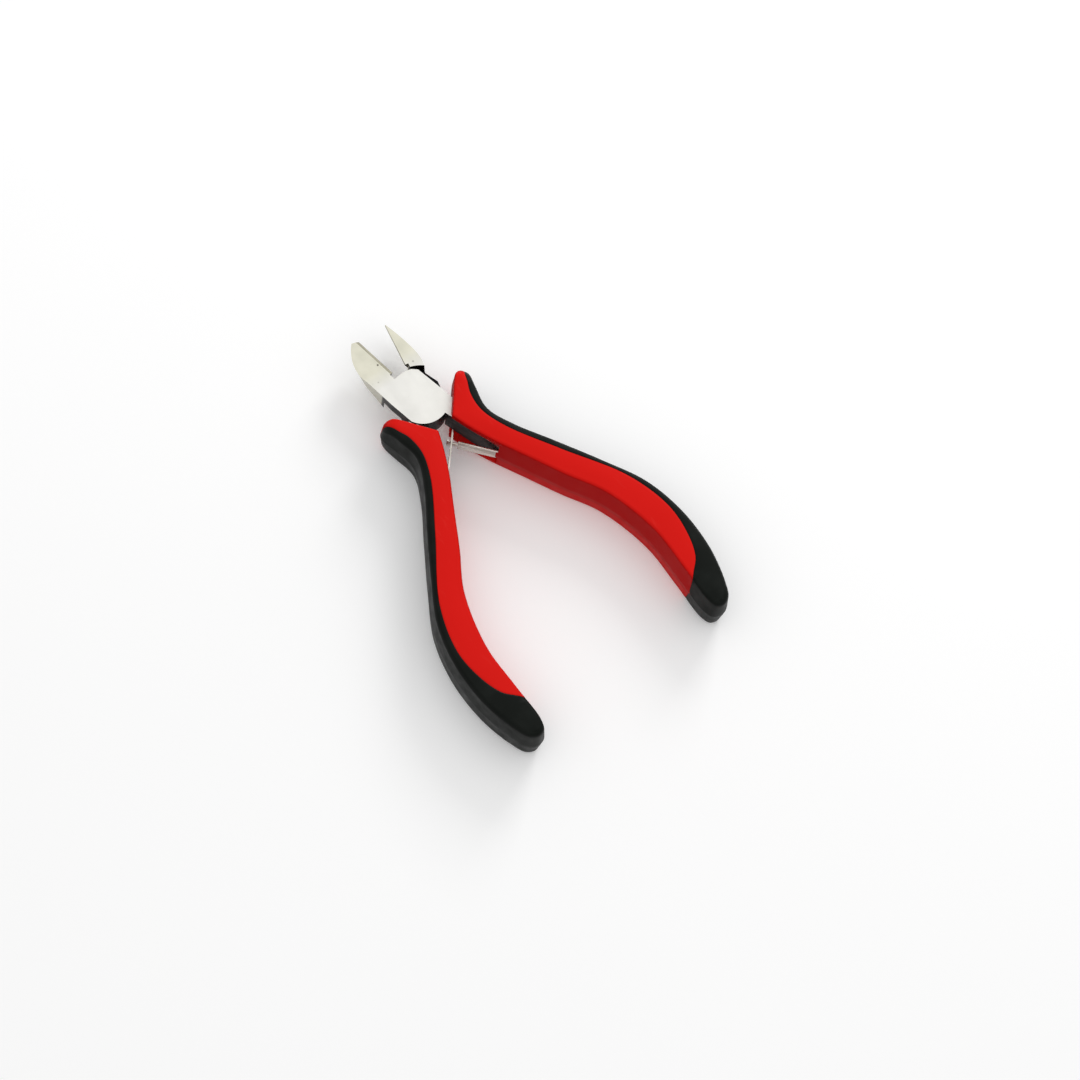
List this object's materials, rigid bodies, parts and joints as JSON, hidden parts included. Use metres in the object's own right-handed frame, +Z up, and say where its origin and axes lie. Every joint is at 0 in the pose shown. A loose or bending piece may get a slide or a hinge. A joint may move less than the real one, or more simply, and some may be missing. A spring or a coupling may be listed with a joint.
{
  "type": "diagonal cutting pliers",
  "caption": "Small spring-opened diagonal cutting pliers with a lap joint and two-colour moulded handles.",
  "frame": {"origin": "on the surface the tool lies on, directly under the pivot axis", "axes": "+Y along the closed tool's centre line towards the jaw tips, +Z up out of the joint face, +X towards the handle of the upper lever"},
  "size_m": [0.0738, 0.1145, 0.015],
  "materials": {
    "jaw_steel": "satin ground",
    "rivet_steel": "satin ground",
    "spring_steel": "bright rolled",
    "red_plastic": "moulded satin",
    "black_rubber": "soft moulded matt"
  },
  "bodies": {
    "lower": {"lower_lever": "jaw_steel", "left_sleeve": "red_plastic", "left_grip": "black_rubber"},
    "upper": {"upper_lever": "jaw_steel", "pivot_rivet": "rivet_steel", "right_sleeve": "red_plastic", "right_grip": "black_rubber"},
    "left_leaf": {"left_spring_leaf": "spring_steel"},
    "right_leaf": {"right_spring_leaf": "spring_steel"}
  },
  "joints": [
    {"name": "pivot", "type": "hinge", "parent": "lower", "child": "upper", "pos_m": [0, 0, 0.0075], "axis": [0, 0, 1], "range_deg": [-20.6, 0], "stiffness_Nm_per_rad": 1.2, "springref_deg": 2.86},
    {"name": "left_leaf_flex", "type": "hinge", "parent": "lower", "child": "left_leaf", "pos_m": [-0.0069, -0.0209, 0.0075], "axis": [0, 0, 1], "range_deg": [0, 14.6], "deforming": ["left_spring_leaf"]},
    {"name": "right_leaf_flex", "type": "hinge", "parent": "upper", "child": "right_leaf", "pos_m": [0.0069, -0.0209, 0.0075], "axis": [0, 0, 1], "range_deg": [-14.6, 0], "deforming": ["right_spring_leaf"]}
  ],
  "couplings": [
    {"joint": "left_leaf_flex", "follows": "pivot", "ratio": -0.706},
    {"joint": "right_leaf_flex", "follows": "pivot", "ratio": 0.706}
  ]
}
